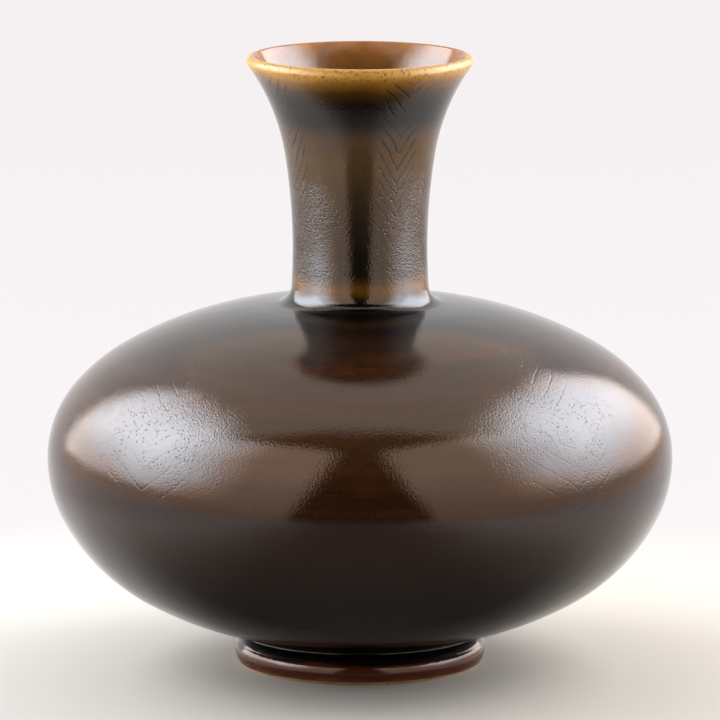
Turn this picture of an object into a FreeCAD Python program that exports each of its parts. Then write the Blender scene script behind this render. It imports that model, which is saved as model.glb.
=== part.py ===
import FreeCAD, Part
import math
import os
from collections import namedtuple

# Squat bottle vase in glazed stoneware: a wide flattened belly, a trumpet neck and a foot ring.
# It is thrown in sections that are luted together with slip, then glazed outside, inside and underneath.
# Millimetres, +Z up, the origin on the table under the middle of the foot ring.

# Body outline, over the glaze
underside_height = 7.7
belly_rise = 53.8
shoulder_rise = 45.9
belly_radius = 91.7
base_flat_radius = 13.7
crown_flat_radius = 17.5
lower_round_share = 0.70
upper_round_share = 0.677
lower_round_turn = math.radians(27.4)
upper_round_turn = math.radians(40.1)
base_reach_share = 0.393
shoulder_reach_share = 0.259

# Neck outline, over the glaze
waist_rise = 16.1
flare_rise = 56.5
waist_radius = 19.7
rim_radius = 33.0
flare_angle = math.radians(35.4)
waist_reach_share = 0.397
root_fillet = 5.2
lip_outer_radius = 1.7
lip_inner_radius = 0.9
throat_rounding = 3.0

# Walls and coats
body_wall = 4.5
neck_wall = 4.0
outer_glaze_coat = 0.4
liner_glaze_coat = 0.4

# Foot ring
foot_radius = 36.8
foot_roll_radius = 4.8
foot_root_width = 4.4
toe_inset = 1.5
toe_width = 6.0
toe_bevel = 0.6
bare_toe_height = 1.0
crease_pool_radius = 0.8

# Luted joints
slip_coat = 0.4
key_half_width = 0.9
key_height = 1.3
key_draft = 0.3
gallery_radius = 29.0
gallery_depth = 2.0

# How far a cutting outline runs past what it cuts, and the shortest line worth drawing
overrun = 5.0
shortest_line = 1e-6

# Heights and radii that follow from the sizes above
belly_height = underside_height + belly_rise
crown_height = belly_height + shoulder_rise
waist_height = crown_height + waist_rise
rim_height = waist_height + flare_rise
sky_height = rim_height + overrun

body_thickness = outer_glaze_coat + body_wall + liner_glaze_coat
bore_radius = waist_radius - outer_glaze_coat - neck_wall - liner_glaze_coat
lip_crown_radius = rim_radius - lip_outer_radius
foot_neck_radius = foot_radius - foot_roll_radius
foot_root_radius = foot_neck_radius - foot_root_width
inner_toe_radius = foot_radius - toe_inset - toe_width
reach_radius = belly_radius + overrun

# Directions in the section plane
upward = FreeCAD.Vector(0, 0, 1)
inward = FreeCAD.Vector(-1, 0, 0)

# One arc of an outline, from the start angle to the finish angle. clay_side is 1 where the wall lies
# towards the arc's centre and -1 where it lies away from it. An outline sunk below the glazed surface
# keeps its centres, so its arcs stay tangent and every coat and wall has one thickness.
Bend = namedtuple("Bend", "centre radius start finish clay_side")


def spot(radius, height):
    """A point of the section plane."""
    return FreeCAD.Vector(radius, 0, height)


def heading(angle):
    """The unit vector at an angle above the outward direction."""
    return FreeCAD.Vector(math.cos(angle), 0, math.sin(angle))


def bearing(vector, near=0):
    """The angle of a vector, taken within half a turn of near."""
    return near + math.remainder(math.atan2(vector.z, vector.x) - near, 2 * math.pi)


def turned_left(vector):
    """The vector turned left by a quarter turn."""
    return FreeCAD.Vector(-vector.z, 0, vector.x)


def turns_left(first_way, second_way):
    """Whether the second direction lies to the left of the first."""
    return first_way.x * second_way.z - first_way.z * second_way.x > 0


def tangent_arc(start, start_way, finish_way, reach, clay_side):
    """The arc that leaves start along start_way and turns to finish_way. reach is its tangent's length."""
    swing = start_way.getAngle(finish_way)
    radius = reach / math.tan(swing / 2)
    side = 1 if turns_left(start_way, finish_way) else -1
    centre = start + turned_left(start_way) * (side * radius)
    first = bearing(start - centre)
    return Bend(centre, radius, first, first + side * swing, clay_side)


def two_arcs(start, start_way, finish, finish_way, reach_share, clay_side):
    """Two tangent arcs from start to finish. The first takes reach_share of the first tangent line."""
    across = finish - start
    crossing = start_way.x * finish_way.z - start_way.z * finish_way.x
    first_line = (across.x * finish_way.z - across.z * finish_way.x) / crossing
    second_line = (start + start_way * first_line).distanceToPoint(finish)
    first_reach = reach_share * first_line
    rest = first_line - first_reach
    fold = start_way.dot(finish_way)
    span_square = rest**2 + second_line**2 + 2 * rest * second_line * fold
    second_reach = (span_square - first_reach**2) / (2 * (first_reach + second_line + rest * fold))
    near = start + start_way * first_reach
    far = finish - finish_way * second_reach
    way = (far - near).normalize()
    return [
        tangent_arc(start, start_way, way, first_reach, clay_side),
        tangent_arc(near + way * first_reach, way, finish_way, second_reach, clay_side),
    ]


def half_body(rise, climb, round_share, turn, reach_share, level_radius):
    """Three tangent arcs from the widest ring up (climb 1) or down (climb -1) to where the wall is level."""
    radius = round_share * rise
    centre = spot(belly_radius - radius, belly_height)
    joint = centre + heading(climb * turn) * radius
    way = turned_left(heading(climb * turn)) * climb
    level = spot(level_radius, belly_height + climb * rise)
    belly = Bend(centre, radius, 0, climb * turn, 1)
    return [belly] + two_arcs(joint, way, level, inward, reach_share, 1)


def neck_outside():
    """The narrow part of the neck, its flare and the outer half of the lip."""
    lip_centre = spot(lip_crown_radius, rim_height - lip_outer_radius)
    flare_end = lip_centre + heading(-flare_angle) * lip_outer_radius
    flare_way = turned_left(heading(-flare_angle))
    waist = spot(waist_radius, waist_height)
    lip = Bend(lip_centre, lip_outer_radius, -flare_angle, math.pi / 2, 1)
    return two_arcs(waist, upward, flare_end, flare_way, waist_reach_share, -1) + [lip]


def hollow_between(below, above, radius, side):
    """A hollow curve tangent to two bends. side is 1 to the left of the line between their centres."""
    across = above.centre - below.centre
    to_below = below.radius + below.clay_side * radius
    to_above = above.radius + above.clay_side * radius
    along = (across.Length**2 + to_below**2 - to_above**2) / (2 * across.Length)
    aside = math.sqrt(to_below**2 - along**2)
    line = across.normalize()
    centre = below.centre + line * along + turned_left(line) * (side * aside)
    first = bearing((below.centre - centre) * below.clay_side)
    last = bearing((above.centre - centre) * above.clay_side, first - math.pi / 2)
    return Bend(centre, radius, first, last, -1)


lower_bends = half_body(
    belly_rise, -1, lower_round_share, lower_round_turn, base_reach_share, base_flat_radius
)
lower_bends = [bend._replace(start=bend.finish, finish=bend.start) for bend in reversed(lower_bends)]
upper_bends = half_body(
    shoulder_rise, 1, upper_round_share, upper_round_turn, shoulder_reach_share, crown_flat_radius
)
base_bend = lower_bends[0]
shoulder_bend = upper_bends[-1]


def outside_bends():
    """The outside from the flat of the base to the crown of the lip."""
    narrow, flare, lip = neck_outside()
    root = hollow_between(shoulder_bend, narrow, root_fillet, 1)
    shoulder = shoulder_bend._replace(finish=bearing(root.centre - shoulder_bend.centre))
    narrow = narrow._replace(start=bearing(root.centre - narrow.centre, math.pi))
    return lower_bends + upper_bends[:-1] + [shoulder, root, narrow, flare, lip]


def inside_bends():
    """The inside from the flat of the floor to the crown of the lip."""
    ceiling_radius = shoulder_bend.radius - body_thickness
    throat_radius = bore_radius + throat_rounding
    offset = throat_radius - shoulder_bend.centre.x
    climb = math.sqrt((ceiling_radius + throat_rounding) ** 2 - offset**2)
    throat_centre = spot(throat_radius, shoulder_bend.centre.z + climb)
    ceiling_end = bearing(throat_centre - shoulder_bend.centre)
    chamber = [
        bend._replace(radius=bend.radius - body_thickness, clay_side=-1)
        for bend in lower_bends + upper_bends
    ]
    chamber[-1] = chamber[-1]._replace(finish=ceiling_end)
    throat = Bend(throat_centre, throat_rounding, ceiling_end - math.pi, -math.pi, 1)

    lip_centre = spot(lip_crown_radius, rim_height - lip_inner_radius)
    lip = Bend(lip_centre, lip_inner_radius, math.pi - flare_angle, math.pi / 2, 1)
    mouth_end = lip_centre + heading(lip.start) * lip_inner_radius
    mouth_radius = (mouth_end.x - bore_radius) / (1 - math.cos(flare_angle))
    mouth_centre = spot(bore_radius + mouth_radius, mouth_end.z - mouth_radius * math.sin(flare_angle))
    mouth = Bend(mouth_centre, mouth_radius, math.pi, math.pi - flare_angle, 1)
    return chamber + [throat, mouth, lip]


def stretch_of(step, depth):
    """The start, middle and finish of a bend sunk by depth, or a corner by itself."""
    if not isinstance(step, Bend):
        return [step]
    radius = step.radius - step.clay_side * depth
    angles = (step.start, (step.start + step.finish) / 2, step.finish)
    return [step.centre + heading(angle) * radius for angle in angles]


def face_through(path, depth=0):
    """A face of the section plane. Its rim follows the corners and bends of path, sunk by depth."""
    stretches = [stretch_of(step, depth) for step in path]
    edges = []
    for stretch, following in zip(stretches, stretches[1:] + stretches[:1]):
        if len(stretch) > 1:
            edges.append(Part.Arc(*stretch).toShape())
        if stretch[-1].distanceToPoint(following[0]) > shortest_line:
            edges.append(Part.LineSegment(stretch[-1], following[0]).toShape())
    return Part.Face(Part.Wire(edges))


def body_mass(depth):
    """All that lies inside the outside of body and neck, with the axis as its other edge."""
    base = spot(0, underside_height + depth)
    top = [spot(lip_crown_radius, sky_height), spot(0, sky_height)]
    return face_through([base] + outside_bends() + top, depth)


def cavity_mass(depth):
    """All that lies inside the hollow, carried up through the mouth."""
    floor = spot(0, underside_height + body_thickness - depth)
    top = [spot(lip_crown_radius, sky_height), spot(0, sky_height)]
    return face_through([floor] + inside_bends() + top, depth)


def block(low_radius, high_radius, low_height, high_height):
    """A rectangle of the section plane."""
    corners = [
        spot(low_radius, low_height),
        spot(high_radius, low_height),
        spot(high_radius, high_height),
        spot(low_radius, high_height),
    ]
    return face_through(corners)


def base_height_at(radius):
    """Height of the body's underside at a radius under the bowl."""
    return base_bend.centre.z - math.sqrt(base_bend.radius**2 - (radius - base_bend.centre.x) ** 2)


def shoulder_height_at(radius):
    """Height of the shoulder at a radius near the neck."""
    return shoulder_bend.centre.z + math.sqrt(shoulder_bend.radius**2 - (radius - shoulder_bend.centre.x) ** 2)


def foot_bends(depth):
    """The outside of the foot ring: its toe, drawn in below, and the roll above it."""
    widest_height = base_height_at(foot_neck_radius) - foot_roll_radius
    toe_radius = (widest_height**2 + toe_inset**2) / (2 * toe_inset)
    drop = math.asin((widest_height - toe_bevel) / (toe_radius - depth))
    toe = Bend(spot(foot_radius - toe_radius, widest_height), toe_radius, -drop, 0, 1)
    roll = Bend(spot(foot_neck_radius, widest_height), foot_roll_radius, 0, math.pi / 2, 1)
    return [toe, roll]


def foot_inner_wall(depth):
    """The inside of the foot ring from within the body down to the bevel of its toe."""
    root_height = base_height_at(foot_root_radius)
    wiped_share = (bare_toe_height - toe_bevel) / (root_height - toe_bevel)
    wiped_radius = inner_toe_radius + wiped_share * (foot_root_radius - inner_toe_radius)
    return [
        spot(foot_root_radius + depth, belly_height),
        spot(foot_root_radius + depth, root_height),
        spot(wiped_radius + depth, bare_toe_height),
        spot(inner_toe_radius + depth, toe_bevel),
    ]


def foot_column(depth):
    """The foot ring, carried up into the body."""
    toe, roll = foot_bends(depth)
    outer_toe = stretch_of(toe, depth)[0].x
    standing_ring = [spot(inner_toe_radius + depth + toe_bevel, 0), spot(outer_toe - toe_bevel, 0)]
    top = spot(foot_neck_radius, belly_height)
    return face_through(foot_inner_wall(depth) + standing_ring + [toe, roll, top], depth)


def key_section(radius, rim_height_here, clearance):
    """The ridge that stands on a luted rim, or with a clearance the groove that takes it."""
    half_width = key_half_width + clearance
    narrow = half_width - key_draft
    top = rim_height_here + slip_coat + key_height + clearance
    corners = [
        spot(radius - half_width, rim_height_here - key_height),
        spot(radius + half_width, rim_height_here - key_height),
        spot(radius + narrow, top),
        spot(radius - narrow, top),
    ]
    return face_through(corners)


def above_gallery(radius, floor):
    """All that stands on the gallery's floor: the flange within a radius, and all above the crown."""
    corners = [
        spot(0, floor),
        spot(radius, floor),
        spot(radius, crown_height),
        spot(reach_radius, crown_height),
        spot(reach_radius, sky_height),
        spot(0, sky_height),
    ]
    return face_through(corners)


def body_sections(clay):
    """The bowl, the dome and the neck with the slip between them, as faces by name."""
    # The belly joint: a ridge on the bowl's rim stands in a groove in the dome's rim
    key_radius = belly_radius - body_thickness / 2
    ridge = key_section(key_radius, belly_height, 0)
    groove = key_section(key_radius, belly_height, slip_coat)
    over_bowl = block(0, reach_radius, belly_height, sky_height).cut(ridge)
    over_slip = block(0, reach_radius, belly_height + slip_coat, sky_height).cut(groove)

    # The neck joint: the neck's flange stands in a gallery sunk in the crown of the dome
    floor = shoulder_height_at(gallery_radius) - outer_glaze_coat - gallery_depth
    flange = above_gallery(gallery_radius, floor)
    gallery = above_gallery(gallery_radius + slip_coat, floor - slip_coat)

    return {
        "lower_body": clay.cut(over_bowl),
        "belly_luting_slip": clay.common(over_bowl).cut(over_slip),
        "upper_body": clay.common(over_slip).cut(gallery),
        "neck_luting_slip": clay.common(gallery).cut(flange),
        "neck": clay.common(flange),
    }


def foot_key(clearance):
    """The ridge on top of the foot ring, or the groove under the bowl that takes it."""
    radius = (foot_root_radius + outer_glaze_coat + foot_neck_radius) / 2
    return key_section(radius, base_height_at(radius), clearance)


def foot_sections():
    """The foot ring, and the slip that fills the seat and the groove above it, as faces by name."""
    column = foot_column(outer_glaze_coat)
    seat = body_mass(outer_glaze_coat - slip_coat)
    bowl = body_mass(outer_glaze_coat).cut(foot_key(slip_coat))
    return {
        "foot_ring": column.cut(seat.cut(foot_key(0))),
        "foot_luting_slip": column.common(seat).cut(bowl).cut(foot_key(0)),
    }


def mass_over_foot(bends, depth):
    """All that lies inside bends that run from the toe of the foot to the crown of the lip."""
    below = [spot(0, belly_height), spot(foot_root_radius, belly_height), spot(foot_root_radius, 0)]
    top = [spot(lip_crown_radius, sky_height), spot(0, sky_height)]
    return face_through(below + bends + top, depth)


def outer_coat():
    """The coat from the toe of the foot to the crown of the lip. It pools in the crease over the foot."""
    above_base = outside_bends()[1:]
    toe, roll = foot_bends(0)
    pool = hollow_between(roll, base_bend, crease_pool_radius, -1)
    roll = roll._replace(finish=bearing(pool.centre - roll.centre))
    base = base_bend._replace(start=bearing(pool.centre - base_bend.centre))
    glazed = mass_over_foot([toe, roll, pool, base] + above_base, 0)

    # Under the coat the base starts at the outer edge of the foot's seat
    seat_edge = (foot_neck_radius - base_bend.centre.x) / (base_bend.radius - outer_glaze_coat)
    bare_base = base_bend._replace(start=-math.acos(seat_edge))
    bare_bends = foot_bends(outer_glaze_coat) + [bare_base] + above_base
    return glazed.cut(mass_over_foot(bare_bends, outer_glaze_coat))


def recess_mass(depth):
    """The hollow inside the foot ring, up to the underside of the bowl."""
    wall = foot_inner_wall(depth)
    column = [spot(0, belly_height), spot(0, -overrun), spot(wall[-1].x, -overrun)] + wall[::-1]
    return face_through(column).cut(body_mass(depth))


def glaze_sections():
    """The coats of glaze, as faces by name. The toe of the foot ring is wiped bare."""
    toe_band = block(0, reach_radius, -overrun, bare_toe_height)
    return {
        "outer_glaze": outer_coat().cut(toe_band),
        "liner_glaze": cavity_mass(liner_glaze_coat).cut(cavity_mass(0)),
        "base_glaze": recess_mass(outer_glaze_coat).cut(recess_mass(0)).cut(toe_band),
    }


def turn_on_wheel(section):
    """The solid that a section makes when it is turned once round the axis."""
    return section.Faces[0].revolve(FreeCAD.Vector(0, 0, 0), upward, 360)


body_clay = body_mass(outer_glaze_coat).cut(cavity_mass(liner_glaze_coat)).cut(foot_key(slip_coat))
sections = {**body_sections(body_clay), **foot_sections(), **glaze_sections()}

os.makedirs("parts", exist_ok=True)
for name, section in sections.items():
    turn_on_wheel(section).exportStep(f"parts/{name}.step")
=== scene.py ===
import bpy
import math
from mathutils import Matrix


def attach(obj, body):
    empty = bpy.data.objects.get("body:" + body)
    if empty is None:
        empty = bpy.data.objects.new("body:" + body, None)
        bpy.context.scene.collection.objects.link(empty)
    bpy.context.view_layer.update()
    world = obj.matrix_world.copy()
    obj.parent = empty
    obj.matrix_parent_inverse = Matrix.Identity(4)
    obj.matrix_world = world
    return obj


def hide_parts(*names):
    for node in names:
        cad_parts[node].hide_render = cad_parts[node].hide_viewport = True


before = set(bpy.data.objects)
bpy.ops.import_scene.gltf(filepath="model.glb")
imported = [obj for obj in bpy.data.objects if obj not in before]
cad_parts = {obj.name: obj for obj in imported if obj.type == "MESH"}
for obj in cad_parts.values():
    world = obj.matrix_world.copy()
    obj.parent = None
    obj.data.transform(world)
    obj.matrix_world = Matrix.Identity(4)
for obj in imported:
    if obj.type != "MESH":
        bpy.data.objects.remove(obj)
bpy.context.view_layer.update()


# Bowl, dome, neck and foot ring: four thrown pieces of stoneware, luted together with slip when
# leather hard. The clay is fired buff, matt and finely gritty, and shows only on the wiped toe of the
# foot ring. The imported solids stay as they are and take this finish.
mm = 0.001


def paint(code):
    """The linear colour of an sRGB hex value."""
    channels = [int(code[i:i + 2], 16) / 255 for i in (0, 2, 4)]
    return [c / 12.92 if c <= 0.04045 else ((c + 0.055) / 1.055) ** 2.4 for c in channels] + [1]


def add_node(tree, kind, inputs={}, stops=None, **settings):
    """Adds a node, with its settings, its ramp's stops, and its inputs set or linked.

    Some inputs go by their place. A MapRange turns 0 from the range 1 to 2 into the range 3 to 4,
    and both are 0 to 1 where they aren't given. A Mix goes from 6 to 7 by the share 0.
    """
    node = tree.nodes.new("ShaderNode" + kind)
    for name, value in settings.items():
        setattr(node, name, value)
    if stops:
        while len(node.color_ramp.elements) < len(stops):
            node.color_ramp.elements.new(1)
        for element, (place, colour) in zip(node.color_ramp.elements, stops):
            element.position = place
            element.color = paint(colour)
    for name, value in inputs.items():
        if isinstance(value, bpy.types.Node):
            value = value.outputs[0]
        if isinstance(value, bpy.types.NodeSocket):
            tree.links.new(value, node.inputs[name])
        else:
            node.inputs[name].default_value = value
    return node


def new_material(name):
    """An empty material, its node tree and its output node."""
    material = bpy.data.materials.new(name)
    material.use_nodes = True
    tree = material.node_tree
    tree.nodes.clear()
    return material, tree, add_node(tree, "OutputMaterial")


# Buff stoneware, fired matt: warm grey-buff with 0.6 mm iron specks, clouded over 8 mm where the
# flame touched it, and gritty in grains of about 0.3 mm.
cloud_width = 8 * mm
speck_spacing = 2.2 * mm
grain = 0.3 * mm
stoneware, tree, surface = new_material("buff_stoneware")
place = add_node(tree, "TexCoord").outputs["Object"]
clouds = add_node(tree, "TexNoise", {"Vector": place, "Scale": 1 / cloud_width, "Detail": 3})
clay_tone = add_node(tree, "ValToRGB", {0: clouds}, [(0.35, "a98c6c"), (0.7, "c9ae88")])
specks = add_node(tree, "TexVoronoi", {"Vector": place, "Scale": 1 / speck_spacing})
speck_mask = add_node(tree, "MapRange", {0: specks, 1: 0.12, 2: 0.18, 3: 1, 4: 0})
clay = add_node(tree, "Mix", {0: speck_mask, 6: clay_tone, 7: paint("5a3c26")}, data_type="RGBA")
grit = add_node(tree, "TexNoise", {"Vector": place, "Scale": 1 / grain, "Detail": 2})
gritty = add_node(tree, "Bump", {"Height": grit, "Strength": 0.5, "Distance": 0.05 * mm})
body = add_node(
    tree, "BsdfPrincipled", {"Base Color": clay.outputs[2], "Roughness": 0.85, "Normal": gritty}
)
tree.links.new(body.outputs[0], surface.inputs[0])

for node in ("lower_body", "upper_body", "neck", "foot_ring"):
    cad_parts[node].data.materials[0] = stoneware


# Joining slip: the runny clay that the maker brushes into the scored joints. It is the same clay
# with more iron and no grit, fired to a smooth brown skin, and lies unseen under the glaze.
slip_stroke = 3 * mm
slip, tree, surface = new_material("fired_slip")
place = add_node(tree, "TexCoord").outputs["Object"]
strokes = add_node(tree, "TexNoise", {"Vector": place, "Scale": 1 / slip_stroke, "Detail": 2})
slip_tone = add_node(tree, "ValToRGB", {0: strokes}, [(0.3, "745539"), (0.7, "8c6a49")])
brushed = add_node(tree, "Bump", {"Height": strokes, "Strength": 0.4, "Distance": 0.1 * mm})
skin = add_node(tree, "BsdfPrincipled", {"Base Color": slip_tone, "Roughness": 0.7, "Normal": brushed})
tree.links.new(skin.outputs[0], surface.inputs[0])

for node in ("belly_luting_slip", "neck_luting_slip", "foot_luting_slip"):
    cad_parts[node].data.materials[0] = slip


# Outer glaze: the coat that the pot was dipped in, from the wiped toe to the crown of the lip.
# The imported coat's outline is taken off its solid and turned on the wheel again in finer steps.
# Points nearer together than a thousandth of a millimetre are one, and bends up to 50 degrees smooth.
tiny = 1e-6
smooth_bend = math.radians(50)


def turn_again(node, name, steps):
    """Spins the outline of a packed coat into a fine shell, which replaces the coat's node.

    The outline is the row of points on the coat's +x side, in the plane of x and z.
    """
    shell = bpy.data.objects.new(name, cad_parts[node].data.copy())
    bpy.context.scene.collection.objects.link(shell)
    bpy.ops.object.select_all(action="DESELECT")
    bpy.context.view_layer.objects.active = shell
    shell.select_set(True)
    bpy.ops.object.mode_set(mode="EDIT")
    bpy.ops.mesh.customdata_custom_splitnormals_clear()
    bpy.ops.mesh.select_mode(type="VERT")
    bpy.ops.mesh.select_all(action="SELECT")
    bpy.ops.mesh.remove_doubles(threshold=tiny)
    bpy.ops.mesh.select_all(action="DESELECT")
    bpy.ops.object.mode_set(mode="OBJECT")
    for vertex in shell.data.vertices:
        vertex.select = abs(vertex.co.y) > tiny or vertex.co.x < -tiny
    bpy.ops.object.mode_set(mode="EDIT")
    bpy.ops.mesh.delete(type="VERT")
    bpy.ops.mesh.select_all(action="SELECT")
    bpy.ops.mesh.spin(steps=steps, angle=2 * math.pi, center=(0, 0, 0), axis=(0, 0, 1))
    bpy.ops.mesh.select_all(action="SELECT")
    bpy.ops.mesh.remove_doubles(threshold=tiny)
    bpy.ops.mesh.normals_make_consistent(inside=False)
    bpy.ops.object.mode_set(mode="OBJECT")
    bpy.ops.object.shade_smooth_by_angle(angle=smooth_bend)
    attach(shell, "root")
    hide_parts(node)
    return shell


outer_coat = turn_again("outer_glaze", "outer_coat", 360)

# Tenmoku, an iron-rich stoneware glaze, dipped and fired glossy. Where it lies thick it is near
# black, where it runs thin it breaks to rust and amber, and it is ochre on the sharp lip. Its
# lengths are in mm, and the scale of a pattern is how many of its grains or spots there are to 1 mm.
overall_height = 180
glaze_ior = 1.55
tenmoku, tree, surface = new_material("tenmoku_glaze")
place = add_node(tree, "TexCoord").outputs["Object"]
scaled = add_node(tree, "VectorMath", {0: place, "Scale": 1 / mm}, operation="SCALE")
axes = add_node(tree, "SeparateXYZ", {0: scaled})
height = axes.outputs["Z"]

# Height sets the colour: toe, foot, black crease, belly, black root pool, amber ring, neck, lip. The
# black of the crease under the belly and of the pool in the root fillet is thick glaze, darkened
# further by painted shade.
# The edges of the colours drift up and down by as much as 0.7 mm.
colour_drift = 0.7
glaze_and_shade_by_height = [
    (0.0, "7c5c3a"), (1.2, "6c4022"), (2.2, "522414"), (5.4, "562814"), (6.3, "1c0a06"),
    (7.2, "060606"), (10.5, "060505"), (14.0, "16100a"), (32.0, "1a120b"), (64.0, "2e1708"),
    (72.0, "301a0b"), (82.0, "402a16"), (88.0, "3a2414"), (92.0, "361f10"), (97.0, "24140b"),
    (103.5, "1c110b"), (106.3, "060606"), (110.9, "080808"), (112.2, "5a3a0e"), (113.6, "6e470f"),
    (115.6, "442c0e"), (117.6, "16110a"), (124.0, "120d08"), (134.0, "2e2118"), (142.0, "3e2f20"),
    (152.0, "554025"), (158.5, "523b20"), (163.5, "1e1712"), (169.0, "19120c"), (172.5, "48300c"),
    (175.5, "906220"), (177.5, "d09a38"),
]
drift = add_node(tree, "TexNoise", {"Vector": scaled, "Scale": 0.06, "Detail": 2})
drift_mm = add_node(tree, "MapRange", {0: drift, 1: 0.3, 2: 0.7, 3: -colour_drift, 4: colour_drift})
uneven_height = add_node(tree, "Math", {0: height, 1: drift_mm}, operation="ADD")
share = add_node(tree, "Math", {0: uneven_height, 1: overall_height}, operation="DIVIDE")
stops = [(z / overall_height, code) for z, code in glaze_and_shade_by_height]
base_tone = add_node(tree, "ValToRGB", {0: share}, stops)

# Rust shows in soft bands along the throwing lines, 4 mm apart and long, broken by fine mottling
banded = add_node(tree, "VectorMath", {0: scaled, 1: (0.014, 0.014, 0.25)}, operation="MULTIPLY")
bands = add_node(tree, "TexNoise", {"Vector": banded, "Scale": 1, "Detail": 4, "Roughness": 0.6})
band_mask = add_node(tree, "MapRange", {0: bands, 1: 0.45, 2: 0.75, 3: 0, 4: 0.35})
mottle = add_node(tree, "TexNoise", {"Vector": scaled, "Scale": 0.4, "Detail": 4})
mottle_mask = add_node(tree, "MapRange", {0: mottle, 1: 0.35, 2: 0.7, 3: 0.3, 4: 1})
above_base = add_node(tree, "MapRange", {0: height, 1: 50, 2: 66})
below_root = add_node(tree, "MapRange", {0: height, 1: 103, 2: 106, 3: 1, 4: 0})
soft_bands = add_node(tree, "Math", {0: band_mask, 1: mottle_mask}, operation="MULTIPLY")
belly_part = add_node(tree, "Math", {0: above_base, 1: below_root}, operation="MULTIPLY")
rust_mask = add_node(tree, "Math", {0: soft_bands, 1: belly_part}, operation="MULTIPLY")
rusty = add_node(tree, "Mix", {0: rust_mask, 6: base_tone, 7: paint("744020")}, data_type="RGBA")

# Runs drew the glaze down the neck in streaks about 1.5 mm wide
drawn = add_node(tree, "VectorMath", {0: scaled, 1: (0.5, 0.5, 0.05)}, operation="MULTIPLY")
runs = add_node(tree, "TexNoise", {"Vector": drawn, "Scale": 1, "Detail": 3, "Roughness": 0.55})
run_mask = add_node(tree, "MapRange", {0: runs, 1: 0.42, 2: 0.8, 3: 0, 4: 0.4})
low_fade = add_node(tree, "MapRange", {0: height, 1: 118, 2: 150})
high_fade = add_node(tree, "MapRange", {0: height, 1: 154, 2: 162, 3: 1, 4: 0})
neck_part = add_node(tree, "Math", {0: low_fade, 1: high_fade}, operation="MULTIPLY")
amber_mask = add_node(tree, "Math", {0: run_mask, 1: neck_part}, operation="MULTIPLY")
streaked = add_node(
    tree, "Mix", {0: amber_mask, 6: rusty.outputs[2], 7: paint("6a4a22")}, data_type="RGBA"
)

# The lip: brown iron specks of 0.3 to 1 mm in the ochre
lip_specks = add_node(tree, "TexNoise", {"Vector": scaled, "Scale": 1.1, "Detail": 2})
lip_mask = add_node(tree, "MapRange", {0: lip_specks, 1: 0.56, 2: 0.68, 3: 0, 4: 0.8})
lip_part = add_node(tree, "MapRange", {0: height, 1: 175, 2: 177})
speckled_part = add_node(tree, "Math", {0: lip_mask, 1: lip_part}, operation="MULTIPLY")
speckled = add_node(
    tree, "Mix", {0: speckled_part, 6: streaked.outputs[2], 7: paint("5a3010")}, data_type="RGBA"
)

# Cut pattern on the neck: a column of chevrons to each quarter, in rows 4 mm apart, drawn by hand. A
# line is fully cut over 0.4 mm, fades out within 1.4 mm, and climbs to both sides of its column.
neck_row = 4.0
neck_column_turn = 30
neck_climb_per_degree = 0.53
hand_slip = 1.2
flip_y = add_node(tree, "Math", {0: axes.outputs["Y"], 1: -1}, operation="MULTIPLY")
round_angle = add_node(tree, "Math", {0: axes.outputs["X"], 1: flip_y}, operation="ARCTAN2")
degrees = add_node(tree, "Math", {0: round_angle}, operation="DEGREES")
from_column = add_node(tree, "Math", {0: degrees, 1: neck_column_turn}, operation="SUBTRACT")
folded = add_node(tree, "Math", {0: from_column, 1: 45, 2: -45}, operation="WRAP")
off_line = add_node(tree, "Math", {0: folded}, operation="ABSOLUTE")
hand = add_node(tree, "TexNoise", {"Vector": scaled, "Scale": 0.08, "Detail": 1})
hand_mm = add_node(tree, "MapRange", {0: hand, 1: 0.3, 2: 0.7, 3: -hand_slip, 4: hand_slip})
hand_height = add_node(tree, "Math", {0: height, 1: hand_mm}, operation="ADD")
climb = add_node(
    tree, "Math", {0: off_line, 1: -neck_climb_per_degree, 2: hand_height}, operation="MULTIPLY_ADD"
)
turn = add_node(tree, "Math", {0: climb, 1: neck_row}, operation="DIVIDE")
step = add_node(tree, "Math", {0: turn}, operation="FRACT")
aside = add_node(tree, "Math", {0: step, 1: 0.5}, operation="SUBTRACT")
off_stroke = add_node(tree, "Math", {0: aside}, operation="ABSOLUTE")
stroke = add_node(
    tree, "MapRange", {0: off_stroke, 1: 0.05, 2: 0.17, 3: 1, 4: 0}, interpolation_type="SMOOTHSTEP"
)
column = add_node(tree, "MapRange", {0: off_line, 1: 14, 2: 17, 3: 1, 4: 0})
from_root = add_node(tree, "MapRange", {0: height, 1: 112, 2: 120})
to_lip = add_node(tree, "MapRange", {0: height, 1: 173, 2: 177, 3: 1, 4: 0})
in_column = add_node(tree, "Math", {0: stroke, 1: column}, operation="MULTIPLY")
above_root = add_node(tree, "Math", {0: in_column, 1: from_root}, operation="MULTIPLY")
neck_cuts = add_node(tree, "Math", {0: above_root, 1: to_lip}, operation="MULTIPLY")

# Cut pattern on the shoulder and belly: a column to each quarter too, in rows 6 mm apart along the
# curve. That curve is close to an arc of 45 mm about a ring inside the belly, so the angle about
# the ring, times the arc's radius, gives the way up it.
belly_arc = 45
belly_ring_radius = 45
belly_ring_height = 60.9
belly_row = 5.9
belly_column_turn = 43
belly_climb_per_degree = 1.0
flat = add_node(tree, "VectorMath", {0: scaled, 1: (1, 1, 0)}, operation="MULTIPLY")
radius = add_node(tree, "VectorMath", {0: flat}, operation="LENGTH").outputs["Value"]
outwards = add_node(tree, "Math", {0: radius, 1: belly_ring_radius}, operation="SUBTRACT")
upwards = add_node(tree, "Math", {0: height, 1: belly_ring_height}, operation="SUBTRACT")
way_angle = add_node(tree, "Math", {0: upwards, 1: outwards}, operation="ARCTAN2")
small_slips = add_node(tree, "Math", {0: hand_mm, 1: 0.5}, operation="MULTIPLY")
hand_way = add_node(
    tree, "Math", {0: way_angle, 1: belly_arc, 2: small_slips}, operation="MULTIPLY_ADD"
)
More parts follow.
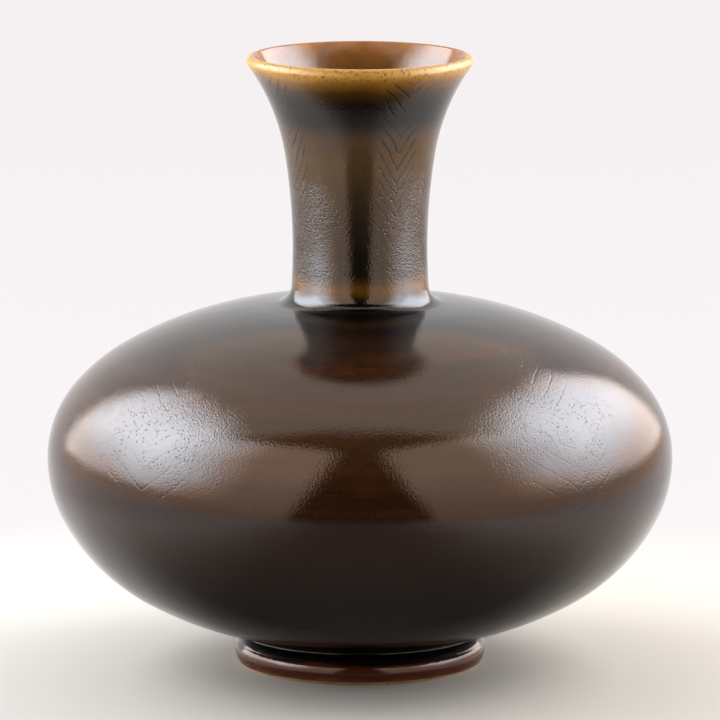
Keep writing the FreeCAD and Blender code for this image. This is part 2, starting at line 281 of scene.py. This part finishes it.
aside_x = add_node(tree, "Math", {0: axes.outputs["X"]}, operation="ABSOLUTE")
aside_y = add_node(tree, "Math", {0: axes.outputs["Y"]}, operation="ABSOLUTE")
quarter = add_node(tree, "Math", {0: aside_x, 1: aside_y}, operation="ARCTAN2")
quarter_degrees = add_node(tree, "Math", {0: quarter}, operation="DEGREES")
off_middle = add_node(
    tree, "Math", {0: quarter_degrees, 1: belly_column_turn}, operation="SUBTRACT"
)
off_centre = add_node(tree, "Math", {0: off_middle}, operation="ABSOLUTE")
rise = add_node(
    tree, "Math", {0: off_centre, 1: -belly_climb_per_degree, 2: hand_way}, operation="MULTIPLY_ADD"
)
row = add_node(tree, "Math", {0: rise, 1: belly_row}, operation="DIVIDE")
row_step = add_node(tree, "Math", {0: row}, operation="FRACT")
row_aside = add_node(tree, "Math", {0: row_step, 1: 0.5}, operation="SUBTRACT")
off_row = add_node(tree, "Math", {0: row_aside}, operation="ABSOLUTE")
belly_stroke = add_node(
    tree, "MapRange", {0: off_row, 1: 0.03, 2: 0.1, 3: 1, 4: 0}, interpolation_type="SMOOTHSTEP"
)
belly_column = add_node(tree, "MapRange", {0: off_centre, 1: 8.5, 2: 10.5, 3: 1, 4: 0})
from_belly = add_node(tree, "MapRange", {0: height, 1: 48, 2: 60})
to_root = add_node(tree, "MapRange", {0: height, 1: 103, 2: 105, 3: 1, 4: 0})
in_belly = add_node(tree, "Math", {0: belly_stroke, 1: belly_column}, operation="MULTIPLY")
above_belly = add_node(tree, "Math", {0: in_belly, 1: from_belly}, operation="MULTIPLY")
belly_cuts = add_node(tree, "Math", {0: above_belly, 1: to_root}, operation="MULTIPLY")
cuts = add_node(tree, "Math", {0: neck_cuts, 1: belly_cuts}, operation="MAXIMUM")
worn = add_node(tree, "TexNoise", {"Vector": scaled, "Scale": 0.25, "Detail": 2})
worn_mask = add_node(tree, "MapRange", {0: worn, 1: 0.35, 2: 0.55, 3: 0.35, 4: 1})
cut_mask = add_node(tree, "Math", {0: cuts, 1: worn_mask}, operation="MULTIPLY")
patterned = add_node(
    tree, "Mix", {0: cut_mask, 6: speckled.outputs[2], 7: paint("101214")}, data_type="RGBA"
)

# The glaze is pitted about the cut columns above the widest ring and, most of all at the sides, on
# the low neck
near_column = add_node(tree, "MapRange", {0: off_centre, 1: 8, 2: 24, 3: 1, 4: 0.15})
on_belly = add_node(tree, "MapRange", {0: height, 1: 84, 2: 94, 3: 1, 4: 0})
over_ring = add_node(tree, "MapRange", {0: height, 1: 60, 2: 71})
on_side = add_node(tree, "Math", {0: on_belly, 1: over_ring}, operation="MULTIPLY")
rough_belly = add_node(tree, "Math", {0: near_column, 1: on_side}, operation="MULTIPLY")
at_side = add_node(tree, "MapRange", {0: aside_x, 1: 3, 2: 9, 3: 0.35, 4: 1})
on_low_neck = add_node(tree, "MapRange", {0: height, 1: 140, 2: 152, 3: 1, 4: 0.1})
above_shoulder = add_node(tree, "MapRange", {0: height, 1: 112, 2: 118})
side_neck = add_node(tree, "Math", {0: on_low_neck, 1: at_side}, operation="MULTIPLY")
rough_neck = add_node(tree, "Math", {0: side_neck, 1: above_shoulder}, operation="MULTIPLY")
rough_part = add_node(tree, "Math", {0: rough_belly, 1: rough_neck}, operation="ADD")
patches = add_node(tree, "TexNoise", {"Vector": scaled, "Scale": 0.1, "Detail": 2})
patch_mask = add_node(tree, "MapRange", {0: patches, 1: 0.35, 2: 0.55, 3: 0.35, 4: 1})
pitted = add_node(tree, "Math", {0: rough_part, 1: patch_mask}, operation="MULTIPLY")

# Relief in mm: orange peel of about 0.6 mm, pits of 0.5 mm where the glaze is pitted or cut, the
# cuts, the slow waves of the wheel, and the foot ring's roll, which leans back up to its crease
pit_depth = 0.24
cut_depth = 0.02
wave_depth = 0.12
roll_lean = 0.95
peel = add_node(tree, "TexNoise", {"Vector": scaled, "Scale": 1.7, "Detail": 2, "Roughness": 0.5})
peel_mm = add_node(tree, "MapRange", {0: pitted, 3: 0.036, 4: 0.13})
peel_height = add_node(tree, "Math", {0: peel, 1: peel_mm}, operation="MULTIPLY")
pits = add_node(tree, "TexVoronoi", {"Vector": scaled, "Scale": 0.9})
pit = add_node(
    tree, "MapRange", {0: pits, 1: 0.08, 2: 0.26, 3: -1, 4: 0}, interpolation_type="SMOOTHSTEP"
)
pit_places = add_node(tree, "Math", {0: cut_mask, 1: 0.6, 2: pitted}, operation="MULTIPLY_ADD")
pit_mm = add_node(tree, "MapRange", {0: pit_places, 1: 0.3, 2: 1.2, 3: 0, 4: pit_depth})
pit_height = add_node(tree, "Math", {0: pit, 1: pit_mm, 2: peel_height}, operation="MULTIPLY_ADD")
cut_height = add_node(
    tree, "Math", {0: cut_mask, 1: -cut_depth, 2: pit_height}, operation="MULTIPLY_ADD"
)
waves = add_node(tree, "TexNoise", {"Vector": scaled, "Scale": 0.07, "Detail": 1})
waved = add_node(tree, "Math", {0: waves, 1: wave_depth, 2: cut_height}, operation="MULTIPLY_ADD")
lean = add_node(tree, "MapRange", {0: height, 1: 2.2, 2: 6.6, 3: 0, 4: -roll_lean})
relief = add_node(tree, "Math", {0: lean, 1: waved}, operation="ADD")
dimpled = add_node(tree, "Bump", {"Height": relief, "Strength": 1, "Distance": mm})
lip_gloss = add_node(tree, "MapRange", {0: height, 1: 172, 2: 178, 3: 0.07, 4: 0.3})
glass = add_node(
    tree, "BsdfPrincipled",
    {"Base Color": patterned.outputs[2], "Roughness": lip_gloss, "IOR": glaze_ior, "Normal": dimpled},
)
tree.links.new(glass.outputs[0], surface.inputs[0])
outer_coat.data.materials[0] = tenmoku


# Liner glaze: poured in, swilled round and tipped out, from the floor to the crown of the lip.
# It is the same iron glaze, thinner and amber, and is painted darker the deeper it lies, as painted
# shade in the throat.
liner_coat = turn_again("liner_glaze", "liner_coat", 240)

# Amber iron glaze, poured thin and fired glossy: honey brown in the throat, painted darker down the
# neck as painted shade.
# Its lengths are in mm too.
amber, tree, surface = new_material("amber_liner_glaze")
place = add_node(tree, "TexCoord").outputs["Object"]
scaled = add_node(tree, "VectorMath", {0: place, "Scale": 1 / mm}, operation="SCALE")
depth = add_node(tree, "SeparateXYZ", {0: scaled}).outputs["Z"]
share = add_node(tree, "MapRange", {0: depth, 1: 100, 2: overall_height})
liner_tone_and_throat_shade = add_node(
    tree, "ValToRGB", {0: share},
    [(0.0, "2c1608"), (0.6, "3e220e"), (0.85, "683f1a"), (0.95, "8a5a28"), (1.0, "b4763a")],
)
pools = add_node(tree, "TexNoise", {"Vector": scaled, "Scale": 0.15, "Detail": 3})
pool_mask = add_node(tree, "MapRange", {0: pools, 1: 0.4, 2: 0.7, 3: 0, 4: 0.4})
pooled = add_node(tree, "Mix", {0: pool_mask, 6: liner_tone_and_throat_shade, 7: paint("5c3214")}, data_type="RGBA")
swell = add_node(tree, "Bump", {"Height": pools, "Strength": 1, "Distance": 0.1 * mm})
glass = add_node(
    tree, "BsdfPrincipled",
    {"Base Color": pooled.outputs[2], "Roughness": 0.14, "IOR": glaze_ior, "Normal": swell},
)
tree.links.new(glass.outputs[0], surface.inputs[0])
liner_coat.data.materials[0] = amber


# Base glaze: brushed into the recess inside the foot ring, under the bowl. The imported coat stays,
# in the same iron glaze as the outside, laid on thinner and more unevenly.
brush_stroke = 6 * mm
base, tree, surface = new_material("brushed_base_glaze")
place = add_node(tree, "TexCoord").outputs["Object"]
brushing = add_node(tree, "TexNoise", {"Vector": place, "Scale": 1 / brush_stroke, "Detail": 4})
base_tone = add_node(
    tree, "ValToRGB", {0: brushing}, [(0.3, "1c0f0a"), (0.55, "3a1c0e"), (0.75, "5c3216")]
)
uneven = add_node(tree, "Bump", {"Height": brushing, "Strength": 1, "Distance": 0.15 * mm})
glass = add_node(
    tree, "BsdfPrincipled",
    {"Base Color": base_tone, "Roughness": 0.12, "IOR": glaze_ior, "Normal": uneven},
)
tree.links.new(glass.outputs[0], surface.inputs[0])
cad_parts["base_glaze"].data.materials[0] = base


# Floor: a plain pale table top, matt, with its lengths in metres. Round the vase it is painted
# board and takes the shadow. Further off it is plain white backdrop to the camera and in the glaze,
# and the camera sees through it from below.
floor_radius = 2.6
bpy.ops.object.select_all(action="DESELECT")
bpy.ops.mesh.primitive_circle_add(vertices=96, radius=floor_radius, fill_type="NGON")
floor = bpy.context.object
floor.name = "floor"
board, tree, surface = new_material("painted_board")
place = add_node(tree, "TexCoord").outputs["Object"]
axes = add_node(tree, "SeparateXYZ", {0: place})
rays = add_node(tree, "LightPath")
# The board is painted darker and warmer towards +x: painted shade on that side and painted bounce
# light from the vase.
across = add_node(tree, "MapRange", {0: axes.outputs["X"], 1: -0.09, 2: 0.09})
board_tone_and_side_shade = add_node(tree, "ValToRGB", {0: across}, [(0, "dddad5"), (1, "d6cfc6")])
near = add_node(tree, "BsdfDiffuse", {"Color": board_tone_and_side_shade})
reach = add_node(tree, "VectorMath", {0: place}, operation="LENGTH").outputs["Value"]
far = add_node(tree, "MapRange", {0: reach, 1: 0.08, 2: 0.26}, interpolation_type="SMOOTHSTEP")
straight = add_node(
    tree, "Math", {0: rays.outputs["Is Camera Ray"], 1: rays.outputs["Is Glossy Ray"]},
    operation="MAXIMUM",
)
far_share = add_node(tree, "Math", {0: far, 1: straight}, operation="MULTIPLY")
backwards = add_node(tree, "MapRange", {0: axes.outputs["Y"], 1: 0.1, 2: 1.2})
far_tone = add_node(tree, "ValToRGB", {0: backwards}, [(0, "fbf7f8"), (1, "f5f1f2")])
backdrop = add_node(tree, "Emission", {"Color": far_tone})
top = add_node(tree, "MixShader", {0: far_share, 1: near, 2: backdrop})

# The glaze sees the table's front as dim, and dark beyond the tent: a painted shadow and a painted dim
# glow, shown to gloss rays only
forwards = add_node(tree, "MapRange", {0: axes.outputs["Y"], 1: -0.05, 2: 0, 3: 1, 4: 0})
off_axis = add_node(tree, "Math", {0: axes.outputs["X"]}, operation="ABSOLUTE")
middle = add_node(
    tree, "MapRange", {0: off_axis, 1: 0.03, 2: 0.16, 3: 1, 4: 0}, interpolation_type="SMOOTHSTEP"
)
front = add_node(tree, "Math", {0: forwards, 1: middle}, operation="MULTIPLY")
beyond = add_node(tree, "MapRange", {0: axes.outputs["Y"], 1: -0.262, 2: -0.256, 3: 1, 4: 0})
unlit = add_node(tree, "Math", {0: front, 1: beyond}, operation="MAXIMUM")
dim = add_node(tree, "Math", {0: unlit, 1: rays.outputs["Is Glossy Ray"]}, operation="MULTIPLY")
shade = add_node(tree, "MapRange", {0: axes.outputs["Y"], 1: -0.12, 2: -0.03, 3: 0.22, 4: 0.02})
painted_dusk_glow = add_node(tree, "MapRange", {0: beyond, 3: shade, 4: 0.04})
painted_dusk = add_node(tree, "Emission", {"Color": paint("fbf7f8"), "Strength": painted_dusk_glow})
dimmed = add_node(tree, "MixShader", {0: dim, 1: top, 2: painted_dusk})
clear = add_node(tree, "BsdfTransparent")
side = add_node(tree, "NewGeometry").outputs["Backfacing"]
from_below = add_node(tree, "Math", {0: side, 1: rays.outputs["Is Camera Ray"]}, operation="MULTIPLY")
either = add_node(tree, "MixShader", {0: from_below, 1: dimmed, 2: clear})
tree.links.new(either.outputs[0], surface.inputs[0])
floor.data.materials.append(board)


# Light tent: glowing sheets at the sides, in front and overhead, seen only as gloss in the glaze.
# The cloth's light is warm where it is weak. A gap between the front sheets, and one above them,
# look out on the dark room.
sheet_columns = 8
second_reflection = 0.15


def hang_sheet(name, one_edge, other_edge, low, high, over=(0, 160), hot=0, begin=(0, 0.09, 0.4),
               keep=1, top=0.6, weak_tint="ffdcc4"):
    """A sheet hung between two chains of points in mm, with a hot part where a lamp is behind it.

    The sheet glows by low up to the first height in over, and by high from the second. The hot
    part adds to that from low on the sheet up to the share top of its height. Across the sheet it
    sets in between the first two shares in begin, and then fades to keep at the other edge. The
    third value in begin is how hot it is at the first edge.
    """
    bpy.ops.object.select_all(action="DESELECT")
    bpy.ops.mesh.primitive_grid_add(x_subdivisions=sheet_columns, y_subdivisions=len(one_edge) - 1)
    sheet = bpy.context.object
    sheet.name = name
    vertices = iter(sheet.data.vertices)
    for start, end in zip(one_edge, other_edge):
        for k in range(sheet_columns + 1):
            along = [(a + (b - a) * k / sheet_columns) * mm for a, b in zip(start, end)]
            next(vertices).co = along
    cloth, tree, surface = new_material(name + "_cloth")
    spot = add_node(tree, "SeparateXYZ", {0: add_node(tree, "UVMap")})
    level_up = add_node(tree, "SeparateXYZ", {0: add_node(tree, "TexCoord").outputs["Object"]})
    glow = add_node(
        tree, "MapRange", {0: level_up.outputs["Z"], 1: over[0] * mm, 2: over[1] * mm, 3: low, 4: high}
    )
    sag = add_node(tree, "MapRange", {0: spot.outputs["X"], 1: 0, 2: 0.2, 3: 0.08, 4: 0})
    hung = add_node(tree, "Math", {0: spot.outputs["Y"], 1: sag}, operation="ADD")
    rise = add_node(tree, "MapRange", {0: hung, 1: 0.08, 2: 0.45}, interpolation_type="SMOOTHSTEP")
    drop = add_node(
        tree, "MapRange", {0: spot.outputs["Y"], 1: top, 2: top + 0.35, 3: 1, 4: 0},
        interpolation_type="SMOOTHSTEP",
    )
    start = add_node(
        tree, "MapRange", {0: spot.outputs["X"], 1: begin[0], 2: begin[1], 3: begin[2], 4: 1},
        interpolation_type="SMOOTHSTEP",
    )
    away = add_node(tree, "Math", {0: keep, 1: spot.outputs["X"]}, operation="POWER")
    upright = add_node(tree, "Math", {0: rise, 1: drop}, operation="MULTIPLY")
    level = add_node(tree, "Math", {0: start, 1: away}, operation="MULTIPLY")
    heat = add_node(tree, "Math", {0: upright, 1: level}, operation="MULTIPLY")
    strength = add_node(tree, "Math", {0: heat, 1: hot, 2: glow}, operation="MULTIPLY_ADD")
    warmth = add_node(tree, "MapRange", {0: strength, 1: 2.5, 2: 7.5})
    tint = add_node(tree, "ValToRGB", {0: warmth}, [(0, weak_tint), (1, "f2f6ff")])
    bounces = add_node(tree, "LightPath").outputs["Glossy Depth"]
    first = add_node(tree, "MapRange", {0: bounces, 1: 1, 2: 2, 3: 1, 4: second_reflection})
    shown = add_node(tree, "Math", {0: strength, 1: first}, operation="MULTIPLY")
    light = add_node(tree, "Emission", {"Color": tint, "Strength": shown})
    tree.links.new(light.outputs[0], surface.inputs[0])
    sheet.data.materials.append(cloth)
    sheet.visible_camera = False
    sheet.visible_diffuse = False
    sheet.visible_shadow = False


# The front sheets: half the width of the gap between them at each height, and the front corners of
# the tent, where they end and the side sheets begin
gap = ((110, 0), (88, 58), (70, 108), (57, 180), (48, 255), (43, 332))
tent_front = -259
left_corner = (-292, -141)
right_corner = (273, -92)
outer_rise = 1.22
hang_sheet(
    "left_front_sheet",
    [(-half, tent_front, z) for half, z in gap],
    [(*left_corner, z * outer_rise) for half, z in gap],
    1.1, 2.3, hot=6, begin=(0.35, 0.95, 0), top=1,
)
hang_sheet(
    "right_front_sheet",
    [(half, tent_front, z) for half, z in gap],
    [(*right_corner, z * outer_rise) for half, z in gap],
    1.0, 2.1, hot=5.5, begin=(0.45, 0.95, 0), top=1,
)

# The side sheets run back from the corners and get taller. Below the lamps they are dim.
side_height = 535
dim_edge = (58, 74)
steps = [k / 8 for k in range(9)]
hang_sheet(
    "left_side_sheet",
    [(*left_corner, side_height * k) for k in steps],
    [(-822, 859, 1478 * k) for k in steps],
    1.3, 4.2, over=dim_edge, hot=11, begin=(0, 0.07, 0.4), keep=0.15, weak_tint="ffe6d6",
)
hang_sheet(
    "right_side_sheet",
    [(*right_corner, side_height * k) for k in steps],
    [(564, 915, 1260 * k) for k in steps],
    1.0, 3.6, over=dim_edge, hot=9.5, keep=0.15, weak_tint="ffe6d6",
)

# One sheet hangs overhead, and the room is dark in front of the tent and over its front
room_glow = 0.04
hang_sheet(
    "overhead_sheet",
    [(-390, -235, 700), (390, -235, 700)], [(-390, 900, 700), (390, 900, 700)],
    1.35, 1.35, weak_tint="ffece0",
)
hang_sheet(
    "dark_room",
    [(-900, -900, 0), (900, -900, 0)], [(-900, -900, 1500), (900, -900, 1500)],
    room_glow, room_glow,
)
hang_sheet(
    "dark_ceiling",
    [(-600, -900, 1000), (600, -900, 1000)], [(-600, 100, 1000), (600, 100, 1000)],
    room_glow, room_glow,
)

# Soft boxes stand where the side sheets glow, and one hangs overhead. They light all that is matt.
# Each has its place, its size and its watts.
soft_boxes = (
    ("left_box", (-420, 130, 260), (500, 500), 3.5),
    ("right_box", (370, 120, 260), (500, 500), 3.0),
    ("overhead_box", (0, 300, 700), (780, 1000), 0.7),
)
for name, spot, (width, depth), watts in soft_boxes:
    lamp = bpy.data.lights.new(name, "AREA")
    lamp.shape = "RECTANGLE"
    lamp.size = width * mm
    lamp.size_y = depth * mm
    lamp.energy = watts
    box = bpy.data.objects.new(name, lamp)
    bpy.context.scene.collection.objects.link(box)
    box.location = [value * mm for value in spot]
    box.rotation_euler = (-box.location).to_track_quat("-Z", "Y").to_euler()
    box.visible_glossy = False
    box.visible_camera = False

# The room lights matt surfaces from the sides, and is white behind the vase and in the glaze
world = bpy.data.worlds.new("pale_room")
bpy.context.scene.world = world
world.use_nodes = True
tree = world.node_tree
tree.nodes.clear()
rays = add_node(tree, "LightPath")
seen = add_node(
    tree, "Math", {0: rays.outputs["Is Camera Ray"], 1: rays.outputs["Is Glossy Ray"]},
    operation="MAXIMUM",
)
way = add_node(tree, "SeparateXYZ", {0: add_node(tree, "TexCoord").outputs["Generated"]})
sideways = add_node(tree, "Math", {0: way.outputs["X"]}, operation="ABSOLUTE")
soft = add_node(tree, "MapRange", {0: sideways, 3: 0.2, 4: 0.9})
pale = add_node(tree, "MapRange", {0: seen, 3: soft, 4: 1.0})
air = add_node(tree, "Background", {"Color": paint("f8f6f6"), "Strength": pale})
tree.links.new(air.outputs[0], add_node(tree, "OutputWorld").inputs[0])
bpy.context.scene.view_settings.view_transform = "Standard"


# Camera: a long lens on a stand 2.33 m in front of the vase and 0.49 m up, looking down by 9.8
# degrees. These were fitted to the outline of the vase in the photograph.
camera_distance = 2326.4
camera_height = 491.7
camera_pitch = 9.799
camera = bpy.data.objects.new("camera", bpy.data.cameras.new("camera"))
bpy.context.scene.collection.objects.link(camera)
camera.location = (0, -camera_distance * mm, camera_height * mm)
camera.rotation_euler = (math.radians(90 - camera_pitch), 0, 0)
camera.data.sensor_width = 36
camera.data.lens = 402.9
camera.data.clip_end = 20
bpy.context.scene.camera = camera
